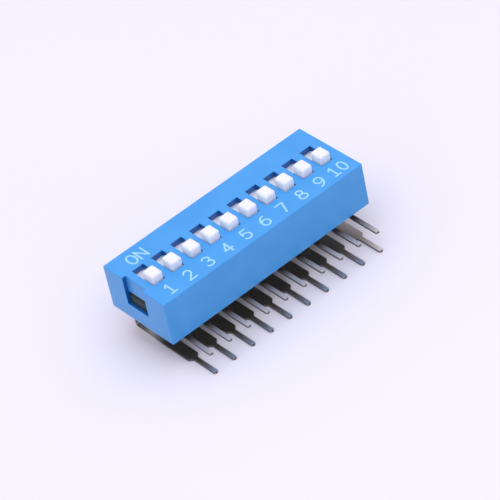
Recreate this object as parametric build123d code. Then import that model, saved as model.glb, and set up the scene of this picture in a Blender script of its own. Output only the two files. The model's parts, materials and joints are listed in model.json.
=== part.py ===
from build123d import *
from math import atan2, cos
import os

# Right-angle slide dip switch lying on its bent leads. Sizes are in mm.
# X runs along the row of positions, position 1 at -X. The leads point to -Y. Z is up.
# Z = 0 is the underside of the lower leads, and the origin is the middle of the footprint.

# Driving sizes
positions = 10
pitch = 2.54
lead_rows = 7.62
lead_gap = 2.54
row_margin = 0.99
cover_height = 5.3
lead_reach = 3.35
slide_travel = 1.70

# Cover
end_margin = 0.80
cover_length = pitch * positions + 2 * end_margin
cover_width = lead_rows + 2 * row_margin
side_wall = 0.60
end_wall = 0.75
roof = 0.66
edge_round = 0.12
rib_width = 0.50
rib_depth = 0.90
cut_over = 0.50

# Sliders
knob_length = 1.60
knob_width = 1.36
knob_height = 1.00
knob_corner = 0.20
knob_round = 0.26
slot_side_gap = 0.07
slot_end_gap = 0.10
slot_length = knob_length + slide_travel + 2 * slot_end_gap
slot_width = knob_width + 2 * slot_side_gap
flange_gap = 0.05
flange_overlap = 0.17
flange_thickness = 0.70
flange_width = slot_width + 2 * flange_overlap
flange_length = slot_length + slide_travel + 2 * flange_overlap
boss_length = 1.50
boss_width = 1.10
boss_depth = 0.35

# Snap windows, one in each end wall, and the groove above the one at -X
window_width = 3.30
window_shift = 0.12
window_sill = 1.85
window_head = 3.35
groove_top_depth = 0.50
groove_foot_depth = 0.42

# Base
base_recess = 0.10
base_gap = 0.05
base_thickness = 2.40
partition_height = 0.80
partition_width = 0.40
partition_length = 6.40
hook_gap = 0.15
hook_depth = 0.36
hook_face = 1.00
tab_thickness = 0.30

# Leads
lead_thickness = 0.25
lead_wide = 1.35
lead_narrow = 0.50
lead_bend = 0.42
lead_stand = 0.70
shoulder_back = 0.30
shoulder_length = (lead_wide - lead_narrow) / 2
tip_chamfer = 0.12
front_pad_end = -0.40
back_pad_end = 1.30

# Wipers
wiper_thickness = 0.12
wiper_width = 1.00
wiper_span = 2.90
wiper_web = 1.10
wiper_curl = 0.32
wiper_curl_rise = 0.32
wiper_bend = 0.16
wiper_gap = 0.02

# Places worked out from the sizes above
upper_run_z = lead_gap
cover_z = upper_run_z + lead_thickness + lead_stand
cover_top_z = cover_z + cover_height
roof_z = cover_top_z - roof
body_y = lead_reach / 2
window_y = body_y + window_shift
front_y = body_y - cover_width / 2
tip_y = front_y - lead_reach
cavity_length = cover_length - 2 * end_wall
cavity_width = cover_width - 2 * side_wall
base_z = cover_z + base_recess
floor_z = base_z + base_thickness
base_length = cavity_length - 2 * base_gap
base_width = cavity_width - 2 * base_gap
flange_top_z = roof_z - flange_gap
flange_bottom_z = flange_top_z - flange_thickness
boss_bottom_z = flange_bottom_z - boss_depth
slider_off_y = body_y - slide_travel / 2
bottom = (Align.CENTER, Align.CENTER, Align.MIN)


def position_x(number):
    """The X of a position, counted from 1 at the -X end."""
    return (number - (positions + 1) / 2) * pitch


def block(size_x, size_y, low_z, high_z, x=0.0, y=body_y):
    """A plain block centred on x and y, from one height to another."""
    return Pos(x, y, low_z) * Box(size_x, size_y, high_z - low_z, align=bottom)


def end_profile(points, width):
    """A prism at the windows' Y from points (distance in from the +X end face, height over the cover's rim)."""
    corners = [(cover_length / 2 - depth, cover_z + height) for depth, height in points]
    face = Plane.XZ * make_face(Polyline(*corners, close=True))
    return Pos(0, window_y, 0) * extrude(face, width / 2, both=True)


def both_ends(solid):
    """The solid made for the +X end, with its mirror at the -X end."""
    return solid + mirror(solid, Plane.YZ)


def window_cut():
    """The opening through an end wall for the base's hook."""
    points = [
        (-cut_over, window_sill),
        (end_wall + cut_over, window_sill),
        (end_wall + cut_over, window_head),
        (-cut_over, window_head),
    ]
    return end_profile(points, window_width)


def groove_cut():
    """The groove down the outside of an end wall, from the top to the window's sill."""
    slope = (groove_foot_depth - groove_top_depth) / (cover_height - window_head)
    over_depth = groove_top_depth - slope * cut_over
    points = [
        (-cut_over, window_sill),
        (groove_foot_depth, window_sill),
        (groove_foot_depth, window_head),
        (over_depth, cover_height + cut_over),
        (-cut_over, cover_height + cut_over),
    ]
    return end_profile(points, window_width)


def make_cover():
    """The moulded box, open at the bottom, with slots, snap windows and the ribs that guide the sliders."""
    shell = block(cover_length, cover_width, cover_z, cover_top_z)
    top_edges = shell.faces().sort_by(Axis.Z)[-1].edges()
    shell = fillet(top_edges + shell.edges().filter_by(Axis.Z), edge_round)
    shell -= block(cavity_length, cavity_width, cover_z - cut_over, roof_z)
    for number in range(1, positions):
        x = position_x(number) + pitch / 2
        shell += block(rib_width, cavity_width, roof_z - rib_depth, roof_z, x)
    for number in range(1, positions + 1):
        shell -= block(slot_width, slot_length, roof_z - cut_over, cover_top_z + cut_over, position_x(number))
    shell -= both_ends(window_cut())
    return shell - mirror(groove_cut(), Plane.YZ)


def hook():
    """The snap hook on the base's +X end: a flat underside, an upright face and a lead-in slope."""
    wall_depth = end_wall + base_gap
    points = [
        (wall_depth + tab_thickness, window_sill),
        (hook_depth, window_sill),
        (hook_depth, window_sill + hook_face),
        (wall_depth, window_head),
        (wall_depth + tab_thickness, window_head),
    ]
    return end_profile(points, window_width - 2 * hook_gap)


def make_base(leads):
    """The moulded plate with partitions between positions, hooks at both ends and the leads moulded in."""
    plate = block(base_length, base_width, base_z, floor_z)
    for number in range(1, positions):
        x = position_x(number) + pitch / 2
        plate += block(partition_width, partition_length, floor_z, floor_z + partition_height, x)
    plate += both_ends(hook())
    for lead in leads:
        plate -= lead
    return plate


def strip(lines, width, thickness):
    """Flat metal of one width along lines, its middle line drawn as (y, z) and in order."""
    path = Plane.YZ * Wire([edge for line in lines for edge in line.edges()])
    start = Plane(origin=path @ 0, x_dir=(1, 0, 0), z_dir=path % 0)
    return sweep(start * Rectangle(width, thickness), path=path, transition=Transition.RIGHT)


def lead_outline():
    """What the leads keep seen from above: full width back to the shoulders, then the narrow end."""
    half_wide = lead_wide / 2
    half_narrow = lead_narrow / 2
    shoulder_y = front_y + shoulder_back
    side = [
        (half_wide, body_y + cover_width / 2),
        (half_wide, shoulder_y),
        (half_narrow, shoulder_y - shoulder_length),
        (half_narrow, tip_y + tip_chamfer),
        (half_narrow - tip_chamfer, tip_y),
    ]
    other_side = [(-x, y) for x, y in reversed(side)]
    return extrude(make_face(Polyline(*side, *other_side, close=True)), cover_top_z)


def upper_leg_outline():
    """What the upper leads keep seen from the front: full width in the base, narrow below it."""
    half_wide = lead_wide / 2
    half_narrow = lead_narrow / 2
    side = [
        (half_wide, cover_top_z),
        (half_wide, base_z + shoulder_length),
        (half_narrow, base_z),
        (half_narrow, 0),
    ]
    other_side = [(-x, z) for x, z in reversed(side)]
    face = Plane.XZ * make_face(Polyline(*side, *other_side, close=True))
    return extrude(face, 2 * cover_width, both=True)


def lead_blank(leg_y, pad_end_y, run_z):
    """A lead at full width, from its pad over the base's floor, down its leg and out to the front."""
    pad_z = floor_z - lead_thickness / 2
    middle_z = run_z + lead_thickness / 2
    pad = Line((pad_end_y, pad_z), (leg_y, pad_z))
    leg_and_run = FilletPolyline((leg_y, pad_z), (leg_y, middle_z), (tip_y, middle_z), radius=lead_bend)
    return strip([pad, leg_and_run], lead_wide, lead_thickness)


def make_upper_lead():
    blank = lead_blank(body_y - lead_rows / 2, body_y + front_pad_end, upper_run_z)
    return blank & lead_outline() & upper_leg_outline()


def make_lower_lead():
    blank = lead_blank(body_y + lead_rows / 2, body_y + back_pad_end, 0)
    return blank & lead_outline()


def make_slider():
    """A knob on the flange that shuts its slot from below, with the boss that holds the wiper."""
    knob = block(knob_width, knob_length, flange_top_z, cover_top_z + knob_height, y=slider_off_y)
    knob = fillet(knob.edges().filter_by(Axis.Z), knob_corner)
    knob = fillet(knob.faces().sort_by(Axis.Z)[-1].edges(), knob_round)
    flange = block(flange_width, flange_length, flange_bottom_z, flange_top_z, y=slider_off_y)
    boss = block(boss_width, boss_length, boss_bottom_z, flange_bottom_z, y=slider_off_y)
    return flange + knob + boss


def curl_lift(drop, run):
    """How far the round of a curl stays above its corner, where an arm falls by drop over run."""
    fall = atan2(drop, run)
    rise = atan2(wiper_curl_rise, wiper_curl)
    return wiper_bend * (cos((rise - fall) / 2) / cos((rise + fall) / 2) - 1)


def make_wiper():
    """The spring strip clipped under a slider, its two arms curled where they rub on the pads."""
    web_z = boss_bottom_z - wiper_thickness / 2
    rub_z = floor_z + wiper_gap + wiper_thickness / 2
    web_end = wiper_web / 2
    rub_y = wiper_span / 2
    corner_z = rub_z - curl_lift(web_z - rub_z, rub_y - web_end)
    curl_end = (rub_y + wiper_curl, corner_z + wiper_curl_rise)
    web = Line((-web_end, web_z), (web_end, web_z))
    front_arm = FilletPolyline((web_end, web_z), (rub_y, corner_z), curl_end, radius=wiper_bend)
    back_arm = mirror(front_arm, Plane.YZ)
    return Pos(0, slider_off_y, 0) * strip([back_arm, web, front_arm], wiper_width, wiper_thickness)


def save(name, solid):
    export_step(solid, os.path.join("parts", name + ".step"))


def build():
    os.makedirs("parts", exist_ok=True)
    upper_lead = make_upper_lead()
    lower_lead = make_lower_lead()
    slider = make_slider()
    wiper = make_wiper()
    leads = []
    for number in range(1, positions + 1):
        place = Pos(position_x(number), 0, 0)
        leads += [place * upper_lead, place * lower_lead]
        save(f"upper_lead_{number}", place * upper_lead)
        save(f"lower_lead_{number}", place * lower_lead)
        save(f"slider_{number}", place * slider)
        save(f"wiper_{number}", place * wiper)
    save("base", make_base(leads))
    save("cover", make_cover())


build()
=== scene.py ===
"""Looks of a right-angle slide dip switch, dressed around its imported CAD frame."""

import json
import logging
from dataclasses import dataclass
from enum import Enum
from math import atan, cos, radians, sin

import bpy
import numpy as np
from mathutils import Matrix, Vector


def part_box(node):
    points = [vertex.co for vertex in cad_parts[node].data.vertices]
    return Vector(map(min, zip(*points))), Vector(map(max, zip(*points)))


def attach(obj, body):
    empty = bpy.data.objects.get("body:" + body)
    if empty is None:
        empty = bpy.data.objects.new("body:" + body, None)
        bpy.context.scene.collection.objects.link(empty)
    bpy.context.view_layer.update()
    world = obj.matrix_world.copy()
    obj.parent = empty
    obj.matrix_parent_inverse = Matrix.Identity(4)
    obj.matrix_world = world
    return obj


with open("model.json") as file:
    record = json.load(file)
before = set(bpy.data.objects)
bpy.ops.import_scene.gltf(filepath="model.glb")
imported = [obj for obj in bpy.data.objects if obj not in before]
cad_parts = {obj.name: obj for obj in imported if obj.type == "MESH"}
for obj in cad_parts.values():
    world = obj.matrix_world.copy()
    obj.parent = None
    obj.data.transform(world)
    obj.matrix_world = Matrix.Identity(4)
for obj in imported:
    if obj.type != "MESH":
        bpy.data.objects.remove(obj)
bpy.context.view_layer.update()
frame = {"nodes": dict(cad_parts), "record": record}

MM = 0.001
HOUSING = "housing"
COVER_LOW, COVER_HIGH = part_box("cover")
COVER_TOP = COVER_HIGH.z
BODY_Y = (COVER_LOW.y + COVER_HIGH.y) / 2
TIP_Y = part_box("lower_lead_1")[0].y
POSITIONS = sum(name.startswith("slider_") for name in frame["nodes"])

log = logging.getLogger("dip_switch")

Node = bpy.types.Node
Socket = bpy.types.NodeSocket
Triple = tuple[float, float, float]
Colour = Triple
Span = tuple[float, float]

# The noise values that count as a noise's two ends, where a finish has none of its own
NOISE_SPAN: Span = (0.3, 0.7)
# The normal's part along an axis at which a surface starts to face along it, and at which it fully does
FACING_SPAN: Span = (0.4, 0.8)
# The largest angle between neighbouring points of an arc, in degrees
ARC_STEP = 10


class Finish(Enum):
    """The finishes of the switch, by the record's material slots."""

    COVER = "cover_plastic"
    BASE = "base_plastic"
    SLIDER = "slider_plastic"
    WIPER = "wiper_metal"
    LEAD = "tinned_lead"


class Overlap(Enum):
    """How two masks make one, by the Math node's operations."""

    BOTH = "MULTIPLY"
    EITHER = "MAXIMUM"


class NodeSheet:
    """A material's node tree, with the few moves that every finish here repeats."""

    def __init__(self, name: str) -> None:
        """Starts an empty material with a Principled shader on its output.

        Args:
            name: The material's name.
        """
        self.material = bpy.data.materials.new(name)
        self.material.use_nodes = True
        self.tree = self.material.node_tree
        self.tree.nodes.clear()
        self.shader = self.add("ShaderNodeBsdfPrincipled")
        self.place = self.add("ShaderNodeTexCoord")
        self.link(self.shader.outputs["BSDF"], self.add("ShaderNodeOutputMaterial"), "Surface")

    def add(self, kind: str) -> Node:
        """Adds a node of a kind and returns it."""
        return self.tree.nodes.new(kind)

    def link(self, source: Socket, node: Node, into: str | int) -> None:
        """Links an output to one of a node's inputs."""
        self.tree.links.new(source, node.inputs[into])

    def colour(self, tone: Socket) -> None:
        """Gives the shader its colour."""
        self.link(tone, self.shader, "Base Color")

    def noise(self, grain_mm: float, detail: float, stretch: Triple = (1.0, 1.0, 1.0)) -> Socket:
        """Adds a noise on the object's own coordinates.

        Args:
            grain_mm: Size of the largest grains, in millimetres.
            detail: Number of finer layers.
            stretch: Factors on X, Y and Z; below 1 draws the grains out along that axis.

        Returns:
            The noise's output.
        """
        mapping = self.add("ShaderNodeMapping")
        mapping.inputs["Scale"].default_value = stretch
        self.link(self.place.outputs["Object"], mapping, "Vector")
        texture = self.add("ShaderNodeTexNoise")
        texture.inputs["Scale"].default_value = 1.0 / (grain_mm * MM)
        texture.inputs["Detail"].default_value = detail
        self.link(mapping.outputs["Vector"], texture, "Vector")
        return texture.outputs["Fac"]

    def tint(self, grain: Socket, low: Colour, high: Colour, span: Span = NOISE_SPAN) -> Socket:
        """Adds a ramp that turns a noise into a run between two colours.

        Args:
            grain: The noise to read.
            low: Colour at the low end.
            high: Colour at the high end.
            span: Noise values at which the two ends are reached.

        Returns:
            The ramp's colour output.
        """
        ramp = self.add("ShaderNodeValToRGB")
        first, last = ramp.color_ramp.elements
        first.position, last.position = span
        first.color, last.color = (*low, 1.0), (*high, 1.0)
        self.link(grain, ramp, "Fac")
        return ramp.outputs["Color"]

    def coordinate(self, kind: str, axis: str) -> Socket:
        """Adds a node that reads one axis of one of the object's own coordinates.

        Args:
            kind: Object for the place on the object, or Normal for the way its surface faces.
            axis: X, Y or Z.

        Returns:
            The output that gives it.
        """
        axes = self.add("ShaderNodeSeparateXYZ")
        self.link(self.place.outputs[kind], axes, "Vector")
        return axes.outputs[axis]

    def within(self, coordinate: Socket, middle: float, reach: float) -> Socket:
        """Adds a mask that is 1 where a coordinate lies within a reach of a middle.

        Args:
            coordinate: The coordinate to read.
            middle: Middle of the stretch.
            reach: Half of the stretch's length.

        Returns:
            The mask's output.
        """
        mask = self.add("ShaderNodeMath")
        mask.operation = "COMPARE"
        mask.inputs[1].default_value = middle
        mask.inputs[2].default_value = reach
        self.link(coordinate, mask, 0)
        return mask.outputs["Value"]

    def rise(self, coordinate: Socket, start: float, end: float) -> Socket:
        """Adds a mask that goes evenly from 0 to 1 as a coordinate goes from start to end.

        Args:
            coordinate: The coordinate to read.
            start: Where the mask is 0, as it is before it.
            end: Where the mask is 1, as it is beyond it.

        Returns:
            The mask's output.
        """
        mask = self.add("ShaderNodeMapRange")
        mask.inputs["From Min"].default_value = start
        mask.inputs["From Max"].default_value = end
        self.link(coordinate, mask, "Value")
        return mask.outputs["Result"]

    def combine(self, first: Socket, second: Socket, way: Overlap) -> Socket:
        """Adds a mask made of two others.

        Args:
            first: The one mask.
            second: The other mask.
            way: Whether it takes both masks or either of them.

        Returns:
            The new mask's output.
        """
        mask = self.add("ShaderNodeMath")
        mask.operation = way.value
        self.link(first, mask, 0)
        self.link(second, mask, 1)
        return mask.outputs["Value"]

    def facing(self, axis: str) -> Socket:
        """Adds a mask that is 1 where the surface faces along an axis, either way.

        Args:
            axis: X, Y or Z.

        Returns:
            The mask's output.
        """
        size = self.add("ShaderNodeMath")
        size.operation = "ABSOLUTE"
        self.link(self.coordinate("Normal", axis), size, 0)
        return self.rise(size.outputs["Value"], *FACING_SPAN)

    def mix(self, mask: Socket, tone: Socket, other: Colour) -> Socket:
        """Adds a mix that turns one colour into another where a mask is 1.

        Args:
            mask: The mask to read.
            tone: The output that gives the colour where the mask is 0.
            other: The colour where the mask is 1.

        Returns:
            The mix's colour output.
        """
        blend = self.add("ShaderNodeMix")
        blend.data_type = "RGBA"
        base, top = (socket for socket in blend.inputs if socket.type == "RGBA")
        top.default_value = (*other, 1.0)
        self.link(mask, blend, "Factor")
        self.tree.links.new(tone, base)
        return next(socket for socket in blend.outputs if socket.type == "RGBA")

    def vary_roughness(self, grain: Socket, low: float, high: float) -> None:
        """Lets a noise move the shader's roughness between two values.

        Args:
            grain: The noise to read.
            low: Roughness at the noise's low end.
            high: Roughness at its high end.
        """
        spread = self.add("ShaderNodeMapRange")
        spread.inputs["From Min"].default_value = NOISE_SPAN[0]
        spread.inputs["From Max"].default_value = NOISE_SPAN[1]
        spread.inputs["To Min"].default_value = low
        spread.inputs["To Max"].default_value = high
        self.link(grain, spread, "Value")
        self.link(spread.outputs["Result"], self.shader, "Roughness")

    def emboss(self, grain: Socket, depth_mm: float, strength: float) -> None:
        """Lets a noise raise and lower the surface.

        Args:
            grain: The noise to read.
            depth_mm: Height of the relief, in millimetres.
            strength: How much of the relief the shading shows, up to 1.
        """
        bump = self.add("ShaderNodeBump")
        bump.inputs["Strength"].default_value = strength
        bump.inputs["Distance"].default_value = depth_mm * MM
        self.link(grain, bump, "Height")
        self.link(bump.outputs["Normal"], self.shader, "Normal")


@dataclass(frozen=True)
class MouldedPlastic:
    """A moulded plastic: two close tones in soft clouds, the fine grain of the mould and a satin skin.

    Light goes glow_depth_mm into a plastic that glows, times glow_reach for its red, green and blue.
    """

    name: str
    dark: Colour
    light: Colour
    roughness: float
    roughness_spread: float = 0.05
    skin: float = 0.0
    skin_roughness: float = 0.30
    cloud_mm: float = 2.5
    cloud_span: Span = (0.35, 0.65)
    grain_mm: float = 0.06
    grain_depth_mm: float = 0.004
    grain_strength: float = 0.25
    glow: float = 0.0
    glow_depth_mm: float = 0.4
    glow_reach: Triple = (1.3, 1.0, 0.8)

    def paint(self, sheet: NodeSheet, tone: Socket) -> None:
        """Gives the shader its colour, here the cloudy tone as it is."""
        sheet.colour(tone)

    def build(self) -> bpy.types.Material:
        """Makes the material.

        Returns:
            The finished material.
        """
        sheet = NodeSheet(self.name)
        clouds = sheet.noise(self.cloud_mm, detail=3.0)
        self.paint(sheet, sheet.tint(clouds, self.dark, self.light, self.cloud_span))
        grain = sheet.noise(self.grain_mm, detail=2.0)
        sheet.vary_roughness(
            grain, self.roughness - self.roughness_spread, self.roughness + self.roughness_spread
        )
        sheet.emboss(grain, self.grain_depth_mm, self.grain_strength)
        sheet.shader.inputs["Coat Weight"].default_value = self.skin
        sheet.shader.inputs["Coat Roughness"].default_value = self.skin_roughness
        sheet.shader.inputs["Subsurface Weight"].default_value = self.glow
        sheet.shader.inputs["Subsurface Radius"].default_value = self.glow_reach
        sheet.shader.inputs["Subsurface Scale"].default_value = self.glow_depth_mm * MM
        return sheet.material


@dataclass(frozen=True)
class CoverPlastic(MouldedPlastic):
    """The cover's plastic, with painted shade: a darker blue in the slots and on the walls of the groove
    and windows.
    """

    # Painted shade: the darker blue that stands for the shade in the slots, the groove walls and the
    # windows
    recess: Colour = (0.003, 0.105, 0.38)
    skin_mm: float = 0.06
    groove_mm: float = 0.60

    def paint(self, sheet: NodeSheet, tone: Socket) -> None:
        """Mixes the tone toward a darker painted shade colour wherever the surface lies inside the cover's
        outer faces.

        Inside is more than skin_mm from the top and from the front and back, and more than groove_mm
        from the ends. Up to skin_mm from the ends, only what faces along Y or Z counts as inside, so
        the floor of the groove keeps the outer tone.

        Args:
            sheet: The material's node tree.
            tone: The colour of the outside.
        """
        middle = (COVER_LOW + COVER_HIGH) / 2
        half = (COVER_HIGH - COVER_LOW) / 2
        skin = self.skin_mm * MM
        along = sheet.coordinate("Object", "X")
        across = sheet.within(sheet.coordinate("Object", "Y"), middle.y, half.y - skin)
        under = sheet.within(sheet.coordinate("Object", "Z"), COVER_LOW.z, 2 * half.z - skin)
        walls = sheet.combine(sheet.facing("Y"), sheet.facing("Z"), Overlap.EITHER)
        near_end = sheet.combine(sheet.within(along, middle.x, half.x - skin), walls, Overlap.BOTH)
        far_in = sheet.within(along, middle.x, half.x - self.groove_mm * MM)
        deep = sheet.combine(near_end, far_in, Overlap.EITHER)
        inside = sheet.combine(sheet.combine(across, under, Overlap.BOTH), deep, Overlap.BOTH)
        # Painted shade: the recesses get the darker colour in place of the shade that falls in them
        sheet.colour(sheet.mix(inside, tone, self.recess))


@dataclass(frozen=True)
class PlatedMetal:
    """A plated strip metal: rolled streaks and soft clouds on its faces, and darker sides and tips.

    A bright of less than 1 leaves the metal under a thin lustreless film. Where a shade colour is given,
    the plating is painted with that darker colour as shade under the front half of the body. It turns
    to it evenly from the tips to the body's front, and loses it within fade_mm of the body's middle.
    """

    name: str
    dark: Colour
    light: Colour
    side: Colour
    smooth: float
    rough: float
    bright: float = 1.0
    # Painted shade: the darker colour the leads get under the front of the body, or none
    sheltered: Colour | None = None
    fade_mm: float = 1.0
    tip_mm: float = 0.02
    cloud_mm: float = 0.7
    streak_mm: float = 0.05
    streak_stretch: Triple = (1.0, 0.06, 1.0)
    streak_depth_mm: float = 0.001
    streak_strength: float = 0.15

    def front_half(self, sheet: NodeSheet) -> Socket:
        """Adds a mask that is 1 in front of the body's middle and 0 behind it, with a soft change."""
        fade = self.fade_mm * MM
        return sheet.rise(sheet.coordinate("Object", "Y"), BODY_Y + fade, BODY_Y - fade)

    def sheared(self, sheet: NodeSheet) -> Socket:
        """Adds a mask that is 1 on the strip's sides and on its tips.

        The sides are where the surface faces along X, in front of the body's middle. The tips are the
        last tip_mm before TIP_Y.

        Args:
            sheet: The material's node tree.

        Returns:
            The mask's output.
        """
        tips = sheet.add("ShaderNodeMath")
        tips.operation = "LESS_THAN"
        tips.inputs[1].default_value = TIP_Y + self.tip_mm * MM
        sheet.link(sheet.coordinate("Object", "Y"), tips, 0)
        sides = sheet.combine(sheet.facing("X"), self.front_half(sheet), Overlap.BOTH)
        return sheet.combine(sides, tips.outputs["Value"], Overlap.EITHER)

    def build(self) -> bpy.types.Material:
        """Makes the material.

        Returns:
            The finished material.
        """
        sheet = NodeSheet(self.name)
        clouds = sheet.noise(self.cloud_mm, detail=4.0)
        tone = sheet.tint(clouds, self.dark, self.light)
        # Painted shade: the leads darken toward the body and under its front half, where the body shades
        # them
        if self.sheltered:
            near = sheet.rise(sheet.coordinate("Object", "Y"), TIP_Y, COVER_LOW.y)
            body_shade_mask = sheet.combine(near, self.front_half(sheet), Overlap.BOTH)
            tone = sheet.mix(body_shade_mask, tone, self.sheltered)
        sheet.colour(sheet.mix(self.sheared(sheet), tone, self.side))
        streaks = sheet.noise(self.streak_mm, detail=3.0, stretch=self.streak_stretch)
        sheet.vary_roughness(streaks, self.smooth, self.rough)
        sheet.emboss(streaks, self.streak_depth_mm, self.streak_strength)
        sheet.shader.inputs["Metallic"].default_value = self.bright
        return sheet.material


@dataclass(frozen=True)
class PadInk:
    """A pad-printed ink: an even pale film that thins a little in soft spots."""

    name: str
    thin: Colour
    full: Colour
    roughness: float = 0.45
    roughness_spread: float = 0.05
    spot_mm: float = 0.18
    spot_span: Span = (0.30, 0.48)

    def build(self) -> bpy.types.Material:
        """Makes the material.

        Returns:
            The finished material.
        """
        sheet = NodeSheet(self.name)
        spots = sheet.noise(self.spot_mm, detail=3.0)
        sheet.colour(sheet.tint(spots, self.thin, self.full, self.spot_span))
        sheet.vary_roughness(
            spots, self.roughness - self.roughness_spread, self.roughness + self.roughness_spread
        )
        return sheet.material


@dataclass(frozen=True)
class TableTop:
    """The pale surface under the switch, which lights it from below less than its colour shows."""

    name: str
    shown: Colour
    sent: Colour
    cloud_mm: float = 60.0
    cloud_tone: float = 0.98
    roughness: float = 0.9
    shine: float = 0.1

    def build(self) -> bpy.types.Material:
        """Makes the material.

        Returns:
            The finished material.
        """
        sheet = NodeSheet(self.name)
        clouds = sheet.noise(self.cloud_mm, detail=1.0)
        darker = tuple(self.cloud_tone * part for part in self.shown)
        tone = sheet.tint(clouds, darker, self.shown)
        ray = sheet.add("ShaderNodeLightPath")
        sheet.colour(sheet.mix(ray.outputs["Is Diffuse Ray"], tone, self.sent))
        sheet.shader.inputs["Roughness"].default_value = self.roughness
        sheet.shader.inputs["Specular IOR Level"].default_value = self.shine
        return sheet.material


FINISHES = {
    Finish.COVER: CoverPlastic(
        "cover_blue",
        dark=(0.038, 0.334, 0.79),
        light=(0.048, 0.359, 0.83),
        roughness=0.42,
        skin=0.30,
    ),
    Finish.BASE: MouldedPlastic(
        "base_dark",
        dark=(0.007, 0.026, 0.018),
        light=(0.013, 0.038, 0.027),
        roughness=0.55,
    ),
    Finish.SLIDER: MouldedPlastic(
        "slider_white",
        dark=(0.93, 0.93, 0.90),
        light=(0.96, 0.96, 0.93),
        roughness=0.38,
        skin=0.4,
        cloud_mm=0.8,
        glow=1.0,
        glow_depth_mm=0.8,
    ),
    Finish.WIPER: PlatedMetal(
        "wiper_gold",
        dark=(0.78, 0.55, 0.22),
        light=(0.86, 0.64, 0.30),
        side=(0.45, 0.30, 0.12),
        smooth=0.16,
        rough=0.30,
    ),
    Finish.LEAD: PlatedMetal(
        "lead_tin",
        dark=(0.82, 0.75, 0.69),
        light=(0.94, 0.86, 0.79),
        side=(0.14, 0.13, 0.13),
        smooth=0.26,
        rough=0.42,
        bright=0.95,
        sheltered=(0.34, 0.31, 0.28),
    ),
}
UPPER_TIN = PlatedMetal(
    "upper_lead_tin",
    dark=(0.68, 0.61, 0.55),
    light=(0.80, 0.72, 0.66),
    side=(0.18, 0.16, 0.15),
    smooth=0.42,
    rough=0.56,
    bright=0.7,
    sheltered=(0.12, 0.11, 0.10),
)
INK = PadInk("legend_ink", thin=(0.24, 0.60, 0.94), full=(0.37, 0.73, 0.98))
TABLE = TableTop("table_pale", shown=(0.885, 0.875, 0.94), sent=(0.64, 0.63, 0.66))


def add_mesh(
    name: str, vertices: np.ndarray, faces: list[list[int]], finish: bpy.types.Material
) -> bpy.types.Object:
    """Adds a mesh to the scene.

    Args:
        name: The object's name.
        vertices: The points, one to a row.
        faces: The faces as rows of indices.
        finish: The material.

    Returns:
        The object.
    """
    mesh = bpy.data.meshes.new(name)
    mesh.from_pydata(vertices.tolist(), [], faces)
    mesh.materials.append(finish)
    piece = bpy.data.objects.new(name, mesh)
    bpy.context.scene.collection.objects.link(piece)
    return piece


@dataclass
class Switch:
    """The pieces of the switch itself, which keep their CAD meshes and get their finishes."""

    finishes: dict[Finish, bpy.types.Material]
    upper_tin: bpy.types.Material

    def dress(self) -> None:
        """Gives every CAD node the finish of its record slot, and the upper leads a duller tin."""
        slots = {row["node"]: Finish(row["material_slot"]) for row in frame["record"]["subparts"]}
        for name, node in frame["nodes"].items():
            finish = self.upper_tin if name.startswith("upper_lead_") else self.finishes[slots[name]]
            node.data.materials.clear()
            node.data.materials.append(finish)
            log.info("%s: %s", name, finish.name)


def arc(x: float, y: float, half_width: float, half_height: float, start: float, end: float) -> np.ndarray:
    """Works out points along an ellipse's arc.

    The point at angle t is half_width times cos t beside the middle and half_height times sin t over
    it, with t in even steps from start to end.

    Args:
        x: Middle in X.
        y: Middle in Y.
        half_width: Half of the ellipse's width.
        half_height: Half of its height.
        start: First angle, in degrees.
        end: Last angle, in degrees.

    Returns:
        An array of XY points.
    """
    turn = np.radians(np.linspace(start, end, 2 + int(abs(end - start) / ARC_STEP)))
    return np.column_stack([x + half_width * np.cos(turn), y + half_height * np.sin(turn)])


def line(*points: tuple[float, float]) -> np.ndarray:
    """Gives the points of a broken line as an array."""
    return np.array(points, dtype=float)


# Each character in a cell that is 1 wide and 1 tall, as the strokes that draw it
STROKES = {
    "0": (arc(0.5, 0.5, 0.42, 0.5, 90, 450),),
    "1": (line((0.18, 0.80), (0.52, 1.0)), line((0.52, 1.0), (0.52, 0.0)), line((0.14, 0.0), (0.90, 0.0))),
    "2": (
        np.vstack([arc(0.5, 0.71, 0.44, 0.29, 165, -35), line((0.03, 0.0))]),
        line((0.03, 0.0), (0.97, 0.0)),
    ),
    "3": (arc(0.46, 0.755, 0.42, 0.245, 150, -90), arc(0.47, 0.26, 0.47, 0.26, 90, -155)),
    "4": (line((0.72, 0.0), (0.72, 1.0)), line((0.72, 1.0), (0.02, 0.30)), line((0.02, 0.30), (1.0, 0.30))),
    "5": (
        line((0.90, 1.0), (0.20, 1.0)),
        line((0.20, 1.0), (0.10, 0.53)),
        arc(0.47, 0.32, 0.49, 0.32, 140, -150),
    ),
    "6": (arc(0.86, 0.32, 0.84, 0.68, 90, 180), arc(0.5, 0.31, 0.48, 0.31, 180, 540)),
    "7": (line((0.03, 1.0), (0.97, 1.0)), line((0.97, 1.0), (0.36, 0.0))),
    "8": (arc(0.5, 0.765, 0.38, 0.235, 270, 630), arc(0.5, 0.27, 0.48, 0.27, 90, 450)),
    "9": (arc(0.14, 0.68, 0.84, 0.68, 270, 360), arc(0.5, 0.69, 0.48, 0.31, 0, 360)),
    "O": (arc(0.5, 0.5, 0.5, 0.5, 90, 450),),
    "N": (line((0.0, 0.0), (0.0, 1.0)), line((0.0, 1.0), (1.0, 0.0)), line((1.0, 0.0), (1.0, 1.0))),
}

# The middles of a stroke's rings, the directions they face and their half widths
Rings = tuple[np.ndarray, np.ndarray, np.ndarray]


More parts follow.
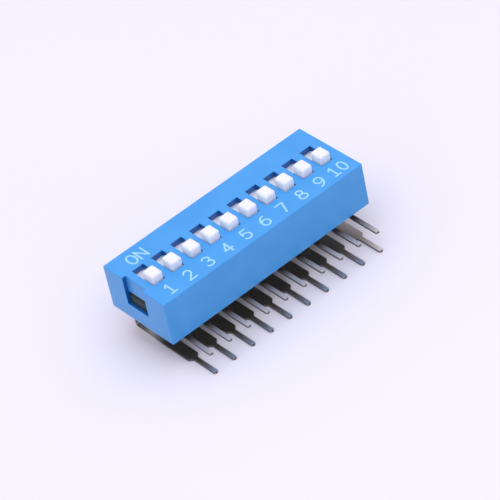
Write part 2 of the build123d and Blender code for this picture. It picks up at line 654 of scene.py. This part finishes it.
@dataclass
class Legends:
    """The printed numbers in front of the slots and the word behind the first two.

    A stroke of ink is a chain of flattened rings. It stands film over the cover and goes sink into
    it, and each further stroke of a character stands overprint higher than the one before. A round
    end is cap_rings rings, of which the last keeps tip_share of the width.
    """

    ink: bpy.types.Material
    film: float = 0.014 * MM
    overprint: float = 0.002 * MM
    sink: float = 0.004 * MM
    stroke_width: float = 0.22 * MM
    height: float = 1.48 * MM
    width: float = 0.92 * MM
    gap: float = 0.30 * MM
    number_y: float = -4.11 * MM
    word_y: float = 2.36 * MM
    word_x: float = -10.42 * MM
    ring_points: int = 10
    cap_rings: int = 4
    tip_share: float = 0.02

    def open_path(self, points: np.ndarray) -> Rings:
        """Works out where a stroke's rings go when it has two ends.

        Each ring faces the mean of the directions before and after its point. Past an end, at steps t
        up to 90 degrees, a ring lies half a width times sin t further and shrinks with cos t, which
        makes the end round.

        Args:
            points: The line's XY points.

        Returns:
            The stroke's rings.
        """
        step = np.diff(points, axis=0)
        step /= np.linalg.norm(step, axis=1)[:, None]
        before = np.vstack([step[:1], step])
        after = np.vstack([step, step[-1:]])
        along = before + after
        along /= np.linalg.norm(along, axis=1)[:, None]
        half = self.stroke_width / 2
        turn = np.linspace(0, np.pi / 2, self.cap_rings + 1)[1:]
        head = points[0] - half * np.sin(turn)[::-1, None] * along[0]
        tail = points[-1] + half * np.sin(turn)[:, None] * along[-1]
        taper = np.maximum(np.cos(turn), self.tip_share)
        reach = 1 / np.sum(along * after, axis=1)
        widths = half * np.concatenate([taper[::-1], reach, taper])
        head_ways = np.repeat(along[:1], self.cap_rings, axis=0)
        tail_ways = np.repeat(along[-1:], self.cap_rings, axis=0)
        return np.vstack([head, points, tail]), np.vstack([head_ways, along, tail_ways]), widths

    def closed_path(self, points: np.ndarray) -> Rings:
        """Works out where a stroke's rings go when it runs back into itself, as in a zero.

        Each ring faces the mean of the directions before and after its point.

        Args:
            points: The line's XY points, the last one equal to the first.

        Returns:
            The stroke's rings.
        """
        after = np.diff(points, axis=0)
        after /= np.linalg.norm(after, axis=1)[:, None]
        along = after + np.roll(after, 1, axis=0)
        along /= np.linalg.norm(along, axis=1)[:, None]
        return points[:-1], along, self.stroke_width / 2 / np.sum(along * after, axis=1)

    def stroke(self, points: np.ndarray, film: float, first: int) -> tuple[np.ndarray, list[list[int]]]:
        """Draws one stroke of ink.

        At angle a, a ring's point lies the ring's half width times cos a beside the line. It stands the
        film's thickness times sin a over the cover, and in the ring's lower half the sink's depth times
        sin a. The rings follow the line, and join into a loop where the line ends at its start.

        Args:
            points: The line's XY points, in metres.
            film: The ink's thickness.
            first: Index of the stroke's first vertex in the mesh.

        Returns:
            The vertices, and the faces as rows of indices.
        """
        closed = np.allclose(points[0], points[-1])
        centres, ways, widths = self.closed_path(points) if closed else self.open_path(points)
        side = np.column_stack([ways[:, 1], -ways[:, 0]])
        angle = np.linspace(0, 2 * np.pi, self.ring_points, endpoint=False)
        flat = centres[:, None] + widths[:, None, None] * np.cos(angle)[None, :, None] * side[:, None]
        lift = np.where(np.sin(angle) > 0, film, self.sink) * np.sin(angle)
        level = COVER_TOP + np.broadcast_to(lift, flat.shape[:2])
        vertices = np.dstack([flat, level]).reshape(-1, 3)
        count = len(centres)
        starts = np.arange(count if closed else count - 1)
        rows, spots = np.meshgrid(starts, np.arange(self.ring_points), indexing="ij")
        here = first + rows * self.ring_points
        there = first + (rows + 1) % count * self.ring_points
        further = (spots + 1) % self.ring_points
        sides = np.dstack([here + spots, here + further, there + further, there + spots])
        faces = sides.reshape(-1, 4).tolist()
        if not closed:
            start_cap = first + np.arange(self.ring_points)
            end_cap = start_cap + (count - 1) * self.ring_points
            faces += [start_cap[::-1].tolist(), end_cap.tolist()]
        return vertices, faces

    def print_text(self, name: str, text: str, x: float, foot_y: float) -> None:
        """Prints one text on the cover's top, each stroke a little thicker than the one it crosses.

        Args:
            name: The piece's name.
            text: The characters to print.
            x: Middle of the text along the row.
            foot_y: Place of the text's foot, from the middle of the body toward the back.
        """
        start = x - (len(text) * self.width + (len(text) - 1) * self.gap) / 2
        vertices, faces, count = [], [], 0
        for place, character in enumerate(text):
            corner = np.array([start + place * (self.width + self.gap), BODY_Y + foot_y])
            for layer, points in enumerate(STROKES[character]):
                film = self.film + layer * self.overprint
                spots, sides = self.stroke(corner + points * (self.width, self.height), film, count)
                vertices.append(spots)
                faces += sides
                count += len(spots)
        piece = add_mesh(name, np.vstack(vertices), faces, self.ink)
        piece.data.shade_smooth()
        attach(piece, HOUSING)
        log.info("%s: %d faces", name, len(faces))

    def build(self) -> None:
        """Prints the numbers, each in front of its own slot, and the word."""
        for number in range(1, POSITIONS + 1):
            low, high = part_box(f"slider_{number}")
            self.print_text(f"legend_{number}", str(number), (low.x + high.x) / 2, self.number_y)
        self.print_text("legend_on", "ON", self.word_x, self.word_y)


@dataclass
class Studio:
    """The pale table, the soft lights and the camera at the photograph's angle.

    A side is an angle in degrees round the switch, from its front toward +X. The height that goes with
    it is the angle over the table. The frame and the focal length are in the photograph's pixels. The
    aim is measured from the middle of the body.
    """

    table: bpy.types.Material
    table_size: float = 1.6
    table_drop: float = 0.02 * MM
    sky: Colour = (0.93, 0.90, 1.0)
    sky_low: float = 0.50
    sky_high: float = 1.10
    lamp_reach: float = 0.35
    lamp_size: float = 0.40
    lamp_power: float = 0.50
    lamp_side: float = -25.0
    lamp_height: float = 74.0
    view_side: float = -33.26
    view_height: float = 40.07
    view_roll: float = -12.76
    view_reach: float = 313.9 * MM
    frame_width: float = 500.0
    focal_length: float = 3070.2
    nearest: float = 0.01
    farthest: float = 10.0
    aim_x: float = 0.849 * MM
    aim_y: float = -0.244 * MM

    def lay_table(self) -> None:
        """Lays the table under the leads as one broad sheet."""
        corners = np.array([(-1, -1), (1, -1), (1, 1), (-1, 1)]) * self.table_size / 2
        vertices = np.column_stack([corners, np.full(len(corners), -self.table_drop)])
        add_mesh("table", vertices, [[0, 1, 2, 3]], self.table)

    def light_sky(self) -> None:
        """Sets a sky that grows brighter toward its top."""
        world = bpy.data.worlds.new("studio")
        world.use_nodes = True
        nodes = world.node_tree.nodes
        links = world.node_tree.links
        background = nodes["Background"]
        background.inputs["Color"].default_value = (*self.sky, 1.0)
        way = nodes.new("ShaderNodeTexCoord")
        axes = nodes.new("ShaderNodeSeparateXYZ")
        rise = nodes.new("ShaderNodeMapRange")
        rise.inputs["To Min"].default_value = self.sky_low
        rise.inputs["To Max"].default_value = self.sky_high
        links.new(way.outputs["Generated"], axes.inputs["Vector"])
        links.new(axes.outputs["Z"], rise.inputs["Value"])
        links.new(rise.outputs["Result"], background.inputs["Strength"])
        bpy.context.scene.world = world

    def hang_lamp(self) -> None:
        """Hangs one broad square lamp that shines on the switch."""
        lamp = bpy.data.lights.new("softbox", "AREA")
        lamp.shape = "SQUARE"
        lamp.size = self.lamp_size
        lamp.energy = self.lamp_power
        lamp.color = self.sky
        holder = bpy.data.objects.new("softbox", lamp)
        bpy.context.scene.collection.objects.link(holder)
        back = self.direction(self.lamp_side, self.lamp_height)
        holder.location = Vector((0.0, 0.0, COVER_TOP)) + back * self.lamp_reach
        holder.rotation_euler = (-back).to_track_quat("-Z", "Y").to_euler()

    def direction(self, side: float, height: float) -> Vector:
        """Gives the way from the switch to something at a side and a height, as a unit vector."""
        turn, rise = radians(side), radians(height)
        return Vector((sin(turn) * cos(rise), -cos(turn) * cos(rise), sin(rise)))

    def aim_camera(self) -> None:
        """Sets the camera where the photograph was taken from, rolled as it was."""
        back = self.direction(self.view_side, self.view_height)
        level = Vector((0.0, 0.0, 1.0)).cross(back).normalized()
        upright = back.cross(level)
        turn = radians(self.view_roll)
        right = level * cos(turn) + upright * sin(turn)
        up = upright * cos(turn) - level * sin(turn)
        data = bpy.data.cameras.new("camera")
        data.angle = 2 * atan(self.frame_width / self.focal_length / 2)
        data.clip_start = self.nearest
        data.clip_end = self.farthest
        camera = bpy.data.objects.new("camera", data)
        bpy.context.scene.collection.objects.link(camera)
        aim = Vector((self.aim_x, BODY_Y + self.aim_y, COVER_LOW.z))
        spot = aim + back * self.view_reach
        turned = Matrix((right, up, back)).transposed().to_4x4()
        camera.matrix_world = Matrix.Translation(spot) @ turned
        bpy.context.scene.camera = camera
        bpy.context.scene.view_settings.view_transform = "Standard"

    def build(self) -> None:
        """Builds the whole studio."""
        self.lay_table()
        self.light_sky()
        self.hang_lamp()
        self.aim_camera()
        log.info("studio set")


def main() -> None:
    """Dresses the CAD nodes, prints the legends and sets the studio."""
    logging.basicConfig(level=logging.INFO, format="%(name)s %(message)s")
    finishes = {finish: recipe.build() for finish, recipe in FINISHES.items()}
    Switch(finishes, UPPER_TIN.build()).dress()
    Legends(INK.build()).build()
    Studio(TABLE.build()).build()


if __name__ == "__main__":
    main()
